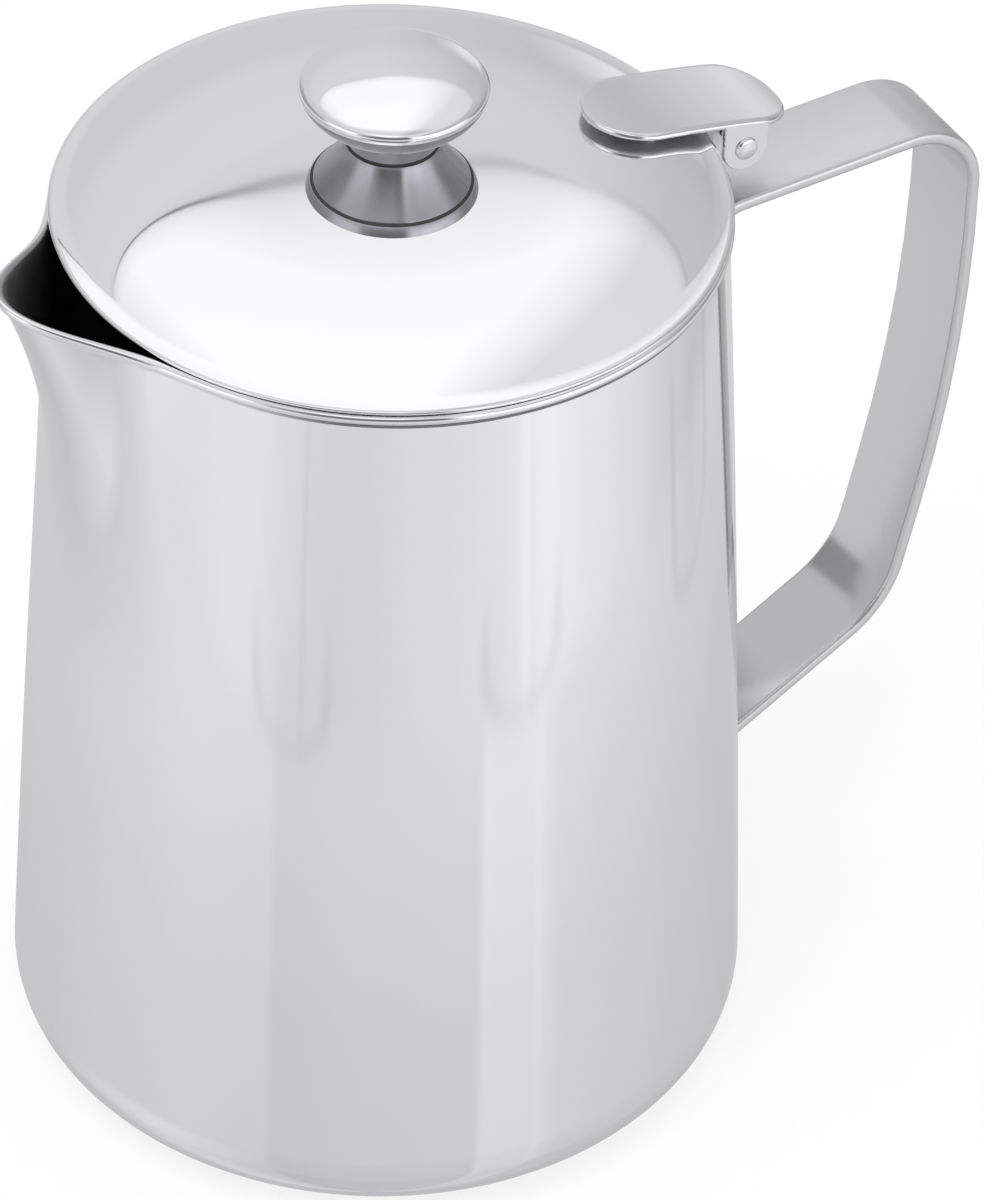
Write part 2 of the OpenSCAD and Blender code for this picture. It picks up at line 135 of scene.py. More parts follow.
def blend(share, low, high):
    """The low value where the share is 0, the high one where it is 1."""
    return calc("ADD", low, times(calc("SUBTRACT", high, low), share))


right_x, right_y = 0.8746, -0.4848
east, north, level = direction.outputs
across = calc("ADD", times(east, right_x), times(north, right_y))
near = calc("ADD", times(east, right_y), times(north, -right_x))
turned = sloped(calc("ARCTAN2", across, near), 0.5 / math.pi, 0.5)

# Upper walls: a grey far wall, paler to the left, whose upper edge rises to both sides, then a thin dark seam
# and the bright ceiling, which is dimmer to the right, to the far left and straight overhead.
seam_height, seam_sharp = 0.5895, 750.0
ceiling_height, ceiling_soft = 0.5902, 2.5
lit_height, lit_sharp = 0.585, 80.0
height = calc("ADD", sloped(across, 0.09, level), times(times(across, across), -1.1))
ceiling = greys(held(calc("SUBTRACT", height, ceiling_height), ceiling_soft, 0.5), [
    (0.0, 0.62), (0.30, 0.67), (0.49, 0.69), (0.4985, 0.72), (0.503, 0.83), (0.512, 0.92), (0.525, 0.99),
    (0.56, 1.06), (1.0, 1.1)])
seam = held(off(height, seam_height), -seam_sharp, 1.0)
seam_ends = times(held(across, -7.0, 0.45), held(across, 12.0, 3.4))
ceiling = times(ceiling, sloped(times(seam, seam_ends), -1.0, 1.0))
dimmed = calc("MAXIMUM", sloped(across, 2.6, -0.13), sloped(across, -1.2, -0.22))
dimmed = calc("MINIMUM", calc("MAXIMUM", dimmed, 0.0), 0.27)
far_wall = calc("MINIMUM", calc("MAXIMUM", sloped(across, -1.1, 1.06), 0.86), 1.08)
lit = held(calc("SUBTRACT", height, lit_height), lit_sharp, 0.35)
ceiling = times(ceiling, blend(lit, far_wall, calc("SUBTRACT", 1.0, dimmed)))
overhead = held(level, 16.0, -14.6)
ceiling = times(ceiling, sloped(overhead, -0.3, 1.0))

# The room on the camera's side: bright windows between dark walls. Straight towards the camera it reaches
# higher up than beside it. One soft pale patch stands low on the far wall.
room = greys(turned, [
    (0.08, 0.50), (0.18, 0.34), (0.25, 0.40), (0.31, 1.15), (0.37, 1.2), (0.41, 0.34), (0.44, 0.18),
    (0.545, 0.18), (0.575, 1.45), (0.64, 1.65), (0.71, 1.3), (0.79, 0.34), (0.92, 0.50)])
aside = times(off(turned, 0.5), 2.0)
front = calc("MAXIMUM", calc("SUBTRACT", 0.2, aside), 0.0)
side_top = held(front, 30.0, sloped(level, -14.0, 7.1))
room_top = calc("MINIMUM", held(level, -6.0, 4.6), side_top)
above = blend(times(held(aside, -12.0, 10.2), room_top), ceiling, room)
patch_across, patch_level, patch_grey = 0.22, 0.28, 0.85
patch = times(held(off(across, patch_across), -12.0, 1.6), held(off(level, patch_level), -10.0, 1.7))
above = blend(times(patch, held(near, -8.0, -4.0)), above, patch_grey)

# Lower walls and table: soft upright bands, one set high up and one set low down, and three dim hanging
# tongues with a darker outline. Down is 0 at the level named first and grows by 1 for each step below it.
down_from, down_step = -0.50, 0.15
down = times(calc("SUBTRACT", level, down_from), -1 / down_step)
upper_bands = greys(turned, [
    (0.03, 0.64), (0.10, 0.68), (0.17, 0.74), (0.21, 0.73), (0.26, 0.68), (0.30, 0.76), (0.375, 0.83),
    (0.426, 0.74), (0.43, 0.67), (0.434, 0.72), (0.46, 0.70), (0.55, 0.76), (0.60, 0.80), (0.6235, 0.86),
    (0.627, 1.0), (0.6305, 0.88), (0.647, 0.92), (0.70, 0.84), (0.73, 0.79), (0.80, 0.67), (0.86, 0.60),
    (0.905, 0.55), (0.915, 0.22), (0.935, 0.22), (0.95, 0.62), (1.0, 0.68)])
lower_bands = greys(turned, [
    (0.03, 0.70), (0.14, 0.73), (0.27, 0.77), (0.33, 0.79), (0.405, 0.77), (0.414, 0.71), (0.50, 0.74),
    (0.586, 0.76), (0.594, 0.88), (0.60, 0.86), (0.638, 0.86), (0.642, 0.90), (0.65, 0.84), (0.668, 0.79),
    (0.73, 0.76), (0.81, 0.72), (0.90, 0.68), (1.0, 0.72)])
bands = blend(held(down, 12.0, -4.7), upper_bands, lower_bands)
fade = greys(times(down, 0.5), [
    (0.0, 1.03), (0.15, 1.02), (0.25, 1.0), (0.33, 0.95), (0.40, 0.90), (0.6, 0.84), (1.0, 0.78)])
streak_turn, streak_light = 0.29, 0.2
streak = times(held(down, 5.0, -5.0), held(off(turned, streak_turn), -8.0, 1.0))
below = times(times(bands, fade), sloped(streak, streak_light, 1.0))
tongue_round, tongue_edge = 0.085, 0.93
tongues = [(0.421, 0.035, 0.46, 0.13, 0.10), (0.625, 0.037, 0.445, 0.16, 0.06),
           (0.828, 0.032, 0.60, 0.12, 0.16)]
for middle, half, bottom, edge_dim, fill_dim in tongues:
    beside = calc("DIVIDE", calc("SUBTRACT", turned, middle), half)
    round_top = bottom - tongue_round
    lower = calc("MAXIMUM", calc("DIVIDE", calc("SUBTRACT", down, round_top), tongue_round), 0.0)
    far = calc("SQRT", calc("ADD", times(beside, beside), times(lower, lower)))
    outline = held(off(far, tongue_edge), -5.0, 1.0)
    inside = times(calc("SUBTRACT", 1.0, far, clamp=True), 0.5)
    darker = calc("ADD", times(inside, fill_dim), times(outline, edge_dim))
    below = times(below, calc("SUBTRACT", 1.0, times(darker, held(down, 9.0, -2.4))))
tent = blend(held(level, 8.0, 0.5), below, above)

# Only mirror images show the tent. Everything else gets plain white light from all round.
red_share, blue_share = 0.992, 1.012
cool = tent_nodes.new("ShaderNodeCombineColor")
tent_link(times(tent, red_share), cool.inputs[0])
tent_link(tent, cool.inputs[1])
tent_link(times(tent, blue_share), cool.inputs[2])
mirrored = tent_nodes.new("ShaderNodeBackground")
tent_link(cool.outputs[0], mirrored.inputs[0])
plain = tent_nodes.new("ShaderNodeBackground")
plain.inputs[0].default_value = (1, 1, 1, 1)


def by_glossy_ray(nodes, link, direct, glossy, output):
    """One shader for plain rays and another for mirror images, joined at an output."""
    pick = nodes.new("ShaderNodeMixShader")
    link(nodes.new("ShaderNodeLightPath").outputs["Is Glossy Ray"], pick.inputs[0])
    link(direct.outputs[0], pick.inputs[1])
    link(glossy.outputs[0], pick.inputs[2])
    link(pick.outputs[0], nodes.new(output).inputs[0])


by_glossy_ray(tent_nodes, tent_link, plain, mirrored, "ShaderNodeOutputWorld")

lamp_data = bpy.data.lights.new("softbox", "AREA")
lamp_data.shape = "DISK"
lamp_data.size = 1.0
lamp_data.energy = 6
lamp = bpy.data.objects.new("softbox", lamp_data)
lamp.location = (-0.5, -0.3, 1.4)
lamp.rotation_euler = Vector((-0.5, -0.3, 1.3)).to_track_quat("Z", "Y").to_euler()
lamp.visible_glossy = False
scene.collection.objects.link(lamp)

# The table is a white sheet with the jug's soft shadow; in the steel the tent's lower walls take its place.
sheet_half, sheet_z, shadow_share = 3, -0.0005, 0.25
floor_mesh = bpy.data.meshes.new("table_sheet")
floor_corners = [(sx * sheet_half, sy * sheet_half, sheet_z)
                 for sx, sy in ((-1, -1), (1, -1), (1, 1), (-1, 1))]
floor_mesh.from_pydata(floor_corners, [], [(0, 1, 2, 3)])
floor = bpy.data.objects.new("table_sheet", floor_mesh)
scene.collection.objects.link(floor)
paper = bpy.data.materials.new("white_sheet")
nodes, link = new_nodes(paper)
glow = nodes.new("ShaderNodeEmission")
glow.inputs[0].default_value = (1, 1, 1, 1)
matt = nodes.new("ShaderNodeBsdfDiffuse")
matt.inputs[0].default_value = (0.9, 0.9, 0.9, 1)
sheet_look = nodes.new("ShaderNodeMixShader")
sheet_look.inputs[0].default_value = shadow_share
link(glow.outputs[0], sheet_look.inputs[1])
link(matt.outputs[0], sheet_look.inputs[2])
by_glossy_ray(nodes, link, sheet_look, nodes.new("ShaderNodeBsdfTransparent"), "ShaderNodeOutputMaterial")
floor_mesh.materials.append(paper)

# Jug body
# The body is one cup of stainless sheet, drawn and spun, with a rolled rim and a spout pulled out of it.
# The polish leaves a mirror with the faintest waviness of the sheet.
# From here on sizes are in millimetres and angles in degrees, unless a line turns them into Blender's own.
mm = 0.001
rim_h = 169.3
mouth_r = 55.2
belly_r = 64.85
wall_swell = 0.5
sheet_t = 0.9
corner_r = 9.5
rim_bead_r = 0.9
base_hole_r = 50.0
spout_reach = 15.1
spout_rise = 4.7
spout_drop = 80.0
spout_spread = 13.6
swell_spread = 21.0
shadow_z = rim_h - 2.45


def wall_r(z):
    """The outside of the wall at a height: a straight taper with a slight swell."""
    share = (z - corner_r) / (rim_h - corner_r)
    return belly_r + (mouth_r - belly_r) * share + wall_swell * 4 * share * (1 - share)


def wall_heights(rows):
    """Heights up the wall, closer together towards the rim, where the spout bends it most."""
    top = rim_h - 2 * rim_bead_r
    return [corner_r + (top - corner_r) * (1 - (1 - i / rows) ** 1.4) for i in range(1, rows + 1)]


def from_spout(angle):
    """The same angle between -180 and 180 degrees."""
    return (angle + 180) % 360 - 180


def spout_point(r, z, angle):
    """A point of the round profile moved out and up where the spout is; the angle runs from the spout."""
    depth = rim_h - z
    pull = max(0.0, 1 - depth / spout_drop) ** 3
    spread = spout_spread + (swell_spread - spout_spread) * min(1.0, max(0.0, depth / spout_drop))
    pull *= math.exp(-(from_spout(angle) / spread) ** 2)
    r = r + spout_reach * pull
    a = math.radians(angle)
    return (-r * math.cos(a) * mm, -r * math.sin(a) * mm, (z + spout_rise * pull) * mm)


def arc_angles(first, last, steps):
    """Angles in radians from the first to the last in degrees, both included."""
    return [math.radians(first + (last - first) * i / steps) for i in range(steps + 1)]


def even_turns(count):
    """Angles in degrees, evenly round a circle."""
    return [360 * j / count for j in range(count)]


def ring_mesh(name, profile, point, turns, closed=True):
    """A skin of rings: profile points carried round by point(r, z, angle)."""
    mesh = bpy.data.meshes.new(name)
    verts = [point(r, z, angle) for r, z in profile for angle in turns]
    count, rows = len(turns), len(profile)
    faces = []
    for i in range(rows if closed else rows - 1):
        for j in range(count):
            a, b = i * count, ((i + 1) % rows) * count
            faces.append((a + j, a + (j + 1) % count, b + (j + 1) % count, b + j))
    mesh.from_pydata(verts, [], faces)
    mesh.validate()
    mesh.shade_smooth()
    return mesh


def place_piece(name, mesh, material):
    """A finished piece: outward faces, its material, and its object at the origin."""
    shape = bmesh.new()
    shape.from_mesh(mesh)
    bmesh.ops.remove_doubles(shape, verts=shape.verts, dist=1e-7)
    bmesh.ops.recalc_face_normals(shape, faces=shape.faces)
    shape.to_mesh(mesh)
    shape.free()
    piece = bpy.data.objects.new(name, mesh)
    scene.collection.objects.link(piece)
    mesh.materials.clear()
    mesh.materials.append(material)
    return piece


def noise_node(nodes, link, place, scale, detail):
    """A noise pattern on a place socket; gives back its strength."""
    node = nodes.new("ShaderNodeTexNoise")
    node.inputs["Scale"].default_value = scale
    node.inputs["Detail"].default_value = detail
    link(place, node.inputs[0])
    return node.outputs[0]


def bump_node(nodes, link, strength, depth):
    """A relief of that depth in metres at full strength."""
    node = nodes.new("ShaderNodeBump")
    node.inputs["Strength"].default_value = 1.0
    node.inputs["Distance"].default_value = depth
    link(strength, node.inputs["Height"])
    return node


def steel(name, grey, rough, wave=0.0, wave_scale=40.0, scratch=0.0, stretch=(1, 1, 1)):
    """Bare stainless steel: a metal whose roughness wanders with the polish, over a faintly wavy sheet."""
    made = bpy.data.materials.new(name)
    nodes, link = new_nodes(made)
    shader = nodes.new("ShaderNodeBsdfPrincipled")
    shader.inputs["Metallic"].default_value = 1.0
    link(shader.outputs[0], nodes.new("ShaderNodeOutputMaterial").inputs[0])
    where = nodes.new("ShaderNodeTexCoord").outputs["Object"]
    mapped = nodes.new("ShaderNodeMapping")
    mapped.inputs["Scale"].default_value = stretch
    link(where, mapped.inputs[0])
    cloud = noise_node(nodes, link, where, wave_scale, 3)
    grain = noise_node(nodes, link, mapped.outputs[0], 900, 2)
    tone = nodes.new("ShaderNodeMapRange")
    tone.inputs["To Min"].default_value = rough * 0.8
    tone.inputs["To Max"].default_value = rough * 1.25
    link(grain, tone.inputs[0])
    link(tone.outputs[0], shader.inputs["Roughness"])
    tint = nodes.new("ShaderNodeMix")
    tint.data_type = "RGBA"
    tint.inputs[6].default_value = (grey * 0.985, grey * 0.985, grey * 0.99, 1)
    tint.inputs[7].default_value = (grey, grey, grey * 1.01, 1)
    link(cloud, tint.inputs[0])
    link(tint.outputs[2], shader.inputs["Base Color"])
    if wave:
        relief = bump_node(nodes, link, cloud, wave)
        if scratch:
            dents, relief = relief, bump_node(nodes, link, grain, scratch)
            link(dents.outputs[0], relief.inputs["Normal"])
        link(relief.outputs[0], shader.inputs["Normal"])
    return made


def tree_of(made):
    """A finished material's node list, link function and surface shader."""
    nodes = made.node_tree.nodes
    return nodes, made.node_tree.links.new, next(n for n in nodes if n.type == "BSDF_PRINCIPLED")


def shaded_along(made, start, stop, at_start, at_stop):
    """The same steel, its colour scaled by a share that eases from start to stop along x, in metres."""
    nodes, link, shader = tree_of(made)
    parts = nodes.new("ShaderNodeSeparateXYZ")
    link(nodes.new("ShaderNodeTexCoord").outputs["Object"], parts.inputs[0])
    share = nodes.new("ShaderNodeMapRange")
    share.interpolation_type = "SMOOTHSTEP"
    for name, value in (("From Min", start), ("From Max", stop), ("To Min", at_start), ("To Max", at_stop)):
        share.inputs[name].default_value = value
    link(parts.outputs[0], share.inputs[0])
    scaled = nodes.new("ShaderNodeVectorMath")
    scaled.operation = "SCALE"
    link(shader.inputs["Base Color"].links[0].from_socket, scaled.inputs[0])
    link(share.outputs[0], scaled.inputs["Scale"])
    link(scaled.outputs[0], shader.inputs["Base Color"])
    return made


polished = steel("polished_sheet", 0.9, 0.045, wave=0.00001, wave_scale=25)
profile = [(base_hole_r, 0.0)]
profile += [(belly_r - corner_r * (1 - math.sin(a)), corner_r * (1 - math.cos(a)))
            for a in arc_angles(0, 90, 12)]
profile += [(wall_r(z), z) for z in sorted(wall_heights(60) + [shadow_z])]
shadow_row = profile.index((wall_r(shadow_z), shadow_z))
profile += [(mouth_r + rim_bead_r * math.cos(a), rim_h - rim_bead_r + rim_bead_r * math.sin(a))
            for a in arc_angles(-90, 180, 14)[1:]]
profile += [(wall_r(z) - sheet_t, z) for z in reversed(wall_heights(40)[:-1])]
inner_corner_r = corner_r - sheet_t
profile += [(belly_r - corner_r + inner_corner_r * math.sin(a), corner_r - inner_corner_r * math.cos(a))
            for a in arc_angles(90, 0, 8)]
profile += [(base_hole_r, sheet_t)]
# The points of a ring stand closer together at the spout.
crowding = 25
cup_turns = [angle - crowding * math.sin(math.radians(angle)) for angle in even_turns(280)]
body = place_piece("jug_cup", ring_mesh("jug_cup", profile, spout_point, cup_turns), polished)
# The inside keeps the dull draw marks of the press.
body.data.materials.append(steel("drawn_inside", 0.55, 0.38, wave=0.000004, wave_scale=60))
for face in body.data.polygons:
    middle = face.center
    outward = face.normal.x * middle.x + face.normal.y * middle.y
    on_bottom = face.normal.z > 0.5 and middle.z < 0.02
    if outward < -0.3 * math.hypot(middle.x, middle.y) or on_bottom:
        face.material_index = 1
# Under the rolled rim a thin line of painted shade runs round the wall; it fades out beside the spout.
shadow_rows, shadow_from = 5, 26
body.data.materials.append(shaded_along(steel("rim_shadow_line", 0.9, 0.3), -0.050, -0.032, 1.0, 0.27))
for face in body.data.polygons:
    row, place = divmod(face.index, len(cup_turns))
    past_spout = abs(from_spout(cup_turns[place])) > shadow_from
    if past_spout and shadow_row <= row < shadow_row + shadow_rows:
        face.material_index = 2
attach(body, "jug")
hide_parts("jug_body")

# Base plate
# A pressed disc of the same polished sheet closes the round hole in the body's bottom. Its middle is raised,
# so that the jug stands steady on the ring round it.
plate_r = 49.7
plate_soft = 0.2
stand_in_r = 42.8
raised_r = 37.7
raised_h = 2.4
# A skin that reaches the axis closes at this hair's breadth from it.
axis_r = 0.01


def lathe_point(r, z, angle):
    """A point round the jug's axis."""
    a = math.radians(angle)
    return (r * math.cos(a) * mm, r * math.sin(a) * mm, z * mm)


plate_profile = [(axis_r, raised_h), (raised_r, raised_h), (raised_r + 1.0, raised_h - 0.1),
                 (stand_in_r - 0.8, 0.25), (stand_in_r, 0), (plate_r - plate_soft, 0), (plate_r, plate_soft),
                 (plate_r, sheet_t - plate_soft), (plate_r - plate_soft, sheet_t),
                 (stand_in_r + 0.1, sheet_t), (stand_in_r - 0.6, sheet_t + 0.2),
                 (raised_r + 1.5, raised_h + 0.7), (raised_r + 0.5, raised_h + sheet_t),
                 (axis_r, raised_h + sheet_t)]
plate_mesh = ring_mesh("bottom_plate", plate_profile, lathe_point, even_turns(180))
plate = place_piece("bottom_plate", plate_mesh, polished)
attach(plate, "jug")
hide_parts("base_plate")

# Strap handle
# One flat bar of satin stainless steel with rounded edges, bent round the hand; each end is bent flat
# against the wall and welded there. The bend follows the same run of straights and arcs as the real bar.
strap_w = 18.6
strap_t = 2.4
strap_edge_r = 0.9
weld_gap = 0.05
foot_len = 11.0
root_bend_r = 5.5
top_slope = 3.5
top_len = 33.0
top_corner_r = 13.0
grip_lean = 88
grip_turn = 14.0
grip_end_share = 0.16
grip_end_z = 59.3
low_corner_r = 20.0
low_turn = 47.0
low_bend_r = 8.0
strap_top_z = rim_h - 15.1
grip_h = strap_top_z - top_corner_r - grip_end_z
grip_r = grip_h * (1 - grip_end_share) / math.sin(math.radians(grip_turn))
climb = 90 + math.degrees(math.atan((belly_r - mouth_r) / (rim_h - corner_r)))


def foot_x(z):
    """How far out the bar's middle line stands where a foot lies on the round wall."""
    sag = wall_r(z) - math.sqrt(wall_r(z) ** 2 - (strap_w / 2 - strap_edge_r) ** 2)
    return wall_r(z) + weld_gap + strap_t / 2 - sag


def stride(place, size, bend):
    """The place and heading after a straight of that size, or after a bend of that radius."""
    px, pz, heading = place
    h = math.radians(heading)
    if not bend:
        return (px + size * math.cos(h), pz + size * math.sin(h), heading)
    k, h2 = math.copysign(size, bend), math.radians(heading + bend)
    return (px + k * (math.sin(h2) - math.sin(h)), pz + k * (math.cos(h) - math.cos(h2)), heading + bend)


root_rise = root_bend_r * (math.cos(math.radians(top_slope)) - math.cos(math.radians(climb)))
root_z = strap_top_z - root_rise - foot_len
bar_start = (foot_x(root_z + foot_len) - foot_len * math.cos(math.radians(climb)), root_z, climb)
bar_run = [(foot_len, 0), (root_bend_r, top_slope - climb), (top_len, 0),
           (top_corner_r, -grip_lean - top_slope), (grip_r, -grip_turn), (grip_h * grip_end_share, 0),
           (low_corner_r, -low_turn)]
here = bar_start
for size, bend in bar_run:
    here = stride(here, size, bend)
# How long the last straight is depends on how low it meets the tapered wall: three rounds settle it.
foot_heading = climb - 180
h0, h1 = math.radians(here[2]), math.radians(foot_heading)
end_dx, end_dz = low_bend_r * (math.sin(h1) - math.sin(h0)), low_bend_r * (math.cos(h0) - math.cos(h1))
low_len, low_z = 0.0, corner_r + 2 * foot_len
for _ in range(3):
    low_len = (foot_x(low_z) - end_dx - here[0]) / math.cos(h0)
    low_z = here[1] + low_len * math.sin(h0) + end_dz
bar_run += [(low_len, 0), (low_bend_r, foot_heading - here[2]), (foot_len, 0)]

bend_step = 2.5
bar_line, here = [bar_start], bar_start
for size, bend in bar_run:
    steps = max(6, int(abs(bend) / bend_step))
    for k in range(1, steps + 1):
        bar_line.append(stride(here, size if bend else size * k / steps, bend * k / steps))
    here = bar_line[-1]


def curve_piece(name, points):
    """A poly curve object through points in the handle's plane."""
    data = bpy.data.curves.new(name, "CURVE")
    data.dimensions = "3D"
    spline = data.splines.new("POLY")
    spline.points.add(len(points) - 1)
    for knot, (px, pz, _) in zip(spline.points, points):
        knot.co = (px * mm, 0, pz * mm, 1)
    made = bpy.data.objects.new(name, data)
    scene.collection.objects.link(made)
    return made


def new_tree(name, sizes):
    """A geometry tree with a geometry socket each way and one named length for each size."""
    tree = bpy.data.node_groups.new(name, "GeometryNodeTree")
    tree.interface.new_socket("Geometry", in_out="INPUT", socket_type="NodeSocketGeometry")
    sockets = {}
    for label, value in sizes.items():
        sockets[label] = tree.interface.new_socket(label, in_out="INPUT", socket_type="NodeSocketFloat")
        sockets[label].default_value = value
    tree.interface.new_socket("Geometry", in_out="OUTPUT", socket_type="NodeSocketGeometry")
    return tree, sockets


def grown(piece, tree, sockets, sizes):
    """Runs a geometry tree on a piece and gives back the plain mesh that it makes."""
    modifier = piece.modifiers.new("shape", "NODES")
    modifier.node_group = tree
    for label, value in sizes.items():
        modifier[sockets[label].identifier] = value
    ready = piece.evaluated_get(bpy.context.evaluated_depsgraph_get())
    mesh = bpy.data.meshes.new_from_object(ready)
    piece.modifiers.remove(modifier)
    bpy.data.objects.remove(piece)
    return mesh


satin = steel("satin_bar", 0.70, 0.34, wave=0.000004, wave_scale=60, scratch=0.0000008,
              stretch=(0.3, 3.0, 0.3))
bar_sizes = {"Width": strap_w * mm, "Thickness": strap_t * mm, "Edge radius": strap_edge_r * mm}
tree, sockets = new_tree("bent_bar", bar_sizes)
nodes, link = tree.nodes, tree.links.new
entry, leave = nodes.new("NodeGroupInput"), nodes.new("NodeGroupOutput")
section = nodes.new("GeometryNodeCurvePrimitiveQuadrilateral")
link(entry.outputs["Width"], section.inputs["Width"])
link(entry.outputs["Thickness"], section.inputs["Height"])
rounding = nodes.new("GeometryNodeFilletCurve")
rounding.mode = "POLY"
rounding.inputs["Count"].default_value = 6
link(section.outputs[0], rounding.inputs["Curve"])
link(entry.outputs["Edge radius"], rounding.inputs["Radius"])
crossing = nodes.new("GeometryNodeSetCurveNormal")
crossing.mode = "MINIMUM_TWIST"
link(entry.outputs["Geometry"], crossing.inputs["Curve"])
sweep = nodes.new("GeometryNodeCurveToMesh")
sweep.inputs["Fill Caps"].default_value = True
link(crossing.outputs[0], sweep.inputs["Curve"])
link(rounding.outputs[0], sweep.inputs["Profile Curve"])
real = nodes.new("GeometryNodeRealizeInstances")
link(sweep.outputs[0], real.inputs[0])
finish = nodes.new("GeometryNodeSetMaterial")
finish.inputs["Material"].default_value = satin
link(real.outputs[0], finish.inputs[0])
link(finish.outputs[0], leave.inputs[0])
strap_mesh = grown(curve_piece("bar_line", bar_line), tree, sockets, bar_sizes)
# The feet are pressed to the round wall: what would stand in the wall is pushed out to its face.
for vert in strap_mesh.vertices:
    r, z = math.hypot(vert.co.x, vert.co.y) / mm, vert.co.z / mm
    if z > corner_r and r < wall_r(z) + weld_gap:
        out = (wall_r(z) + weld_gap) / r
        vert.co.x, vert.co.y = vert.co.x * out, vert.co.y * out
strap = place_piece("handle_bar", strap_mesh, satin)
strap_mesh.shade_smooth()
# Hands have rubbed the inside of the loop to a brighter polish; near the welds its colour is painted darker as
# shade at the feet.
rubbed_and_foot_shade = steel("rubbed_bar_foot_shade", 0.69, 0.15, wave=0.000012, wave_scale=45)
strap_mesh.materials.append(shaded_along(rubbed_and_foot_shade, 0.066, 0.079, 0.5, 1.0))
loop_middle, rubbed_from_x = Vector((0.088, 0, 0.105)), 0.068
for face in strap_mesh.polygons:
    faces_loop = face.normal.dot(loop_middle - face.center) > 0
    if faces_loop and abs(face.normal.y) < 0.3 and face.center.x > rubbed_from_x:
        face.material_index = 1
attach(strap, "jug")
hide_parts("handle_strap")

# Lid shell
# A shallow dome pressed from sheet and polished to the smoothest mirror on the jug. Its edge is rolled over
# a wire and dressed down, so that it lies flush with the flat brim.
lid_r = 56.0
lid_bead_r = 0.9
lid_t = 0.8
lid_lift = 0.3
brim_w = 1.7
dome_rise = 2.4
seat_r = 15.0
roll_h = 0.5
bore = 2.1
bead_mid_r = lid_r - lid_bead_r
brim_top = rim_h + lid_lift + lid_bead_r + lid_t * 0.12
dome_edge_r = bead_mid_r - brim_w


def lid_top(r):
    """The height of the lid's upper face: level under the knob, then falling ever faster to the brim."""
    share = min(1.0, max(0.0, (r - seat_r) / (dome_edge_r - seat_r)))
    return brim_top + dome_rise * (1 - share ** 4)


lid_z = lid_top(0)
dome_radii = [seat_r + (dome_edge_r - seat_r) * i / 40 for i in range(41)]
dome_line = [(r, lid_top(r)) for r in dome_radii]
roll_line = [(bead_mid_r + lid_bead_r * math.cos(a), brim_top - roll_h + roll_h * math.sin(a))
             for a in arc_angles(90, -130, 20)]
shell_profile = ([(bore, lid_z)] + dome_line + roll_line + [(bead_mid_r - 1.0, brim_top - lid_t)]
                 + [(r, z - lid_t) for r, z in reversed(dome_line)] + [(bore, lid_z - lid_t)])
lid_steel = steel("lid_sheet", 0.9, 0.02, wave=0.000005, wave_scale=22)
shell_mesh = ring_mesh("lid_dome", shell_profile, lathe_point, even_turns(256))
shell = place_piece("lid_dome", shell_mesh, lid_steel)
shell_mesh.set_sharp_from_angle(angle=math.radians(35))
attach(shell, "lid")
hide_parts("lid_shell")

# Locating ring
# A short hoop of the body's polished sheet, spot welded under the lid. It drops inside the mouth and keeps
# the lid centred.
hoop_play = 1.7
hoop_t = 0.8
hoop_soft = 0.2
hoop_drop = 3.2
hoop_r = mouth_r - sheet_t - hoop_play
hoop_top = lid_top(hoop_r) - lid_t - weld_gap
hoop_low = brim_top - lid_t - hoop_drop
hoop_profile = [(hoop_r - hoop_t, hoop_low + hoop_soft), (hoop_r - hoop_t + hoop_soft, hoop_low),
                (hoop_r - hoop_soft, hoop_low), (hoop_r, hoop_low + hoop_soft), (hoop_r, hoop_top),
                (hoop_r - hoop_t, hoop_top)]
hoop = place_piece("lid_hoop", ring_mesh("lid_hoop", hoop_profile, lathe_point, even_turns(180)), polished)
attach(hoop, "lid")
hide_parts("lid_ring")

# Hinge leaf
# A pressed plate of polished sheet: a round-ended tongue over the lid, two ears folded down for the pin,
# and a thumb tab that curls down at its end. Places along it are told from the pin, inwards below 0.
pin_x = lid_r + 6.0
pin_z = rim_h - 2.9
leaf_t = 1.2
leaf_edge = 0.45
leaf_in = 25.5
leaf_out = 10.6
leaf_top_z = pin_z + 5.3
leaf_climb = 3.6
tab_fall = 3.0
tab_corner_share = 0.85
ear_r = 4.2
ear_soft = 0.15
leaf_fall = leaf_climb * 1.4 * leaf_out / leaf_in


def leaf_z(x):
    """The height of the leaf's upper face: it rises inwards to the tongue's end and falls to the tab's."""
    if x < 0:
        return leaf_top_z + leaf_climb * (1 - max(0.0, 1 + x / leaf_in) ** 1.4)
    return leaf_top_z - leaf_fall * x / leaf_out - (tab_fall - leaf_fall) * (x / leaf_out) ** 2.2


def leaf_half_width(x):
    """Half the plate's width along it: a half round at the tongue and rounded corners at the tab."""
    half = strap_w / 2
    if x < half - leaf_in:
        return math.sqrt(max(0.0, half ** 2 - (x - half + leaf_in) ** 2))
    corner = half * tab_corner_share
    if x > leaf_out - corner:
        return half - corner + math.sqrt(max(0.0, corner ** 2 - (x - leaf_out + corner) ** 2))
    return half


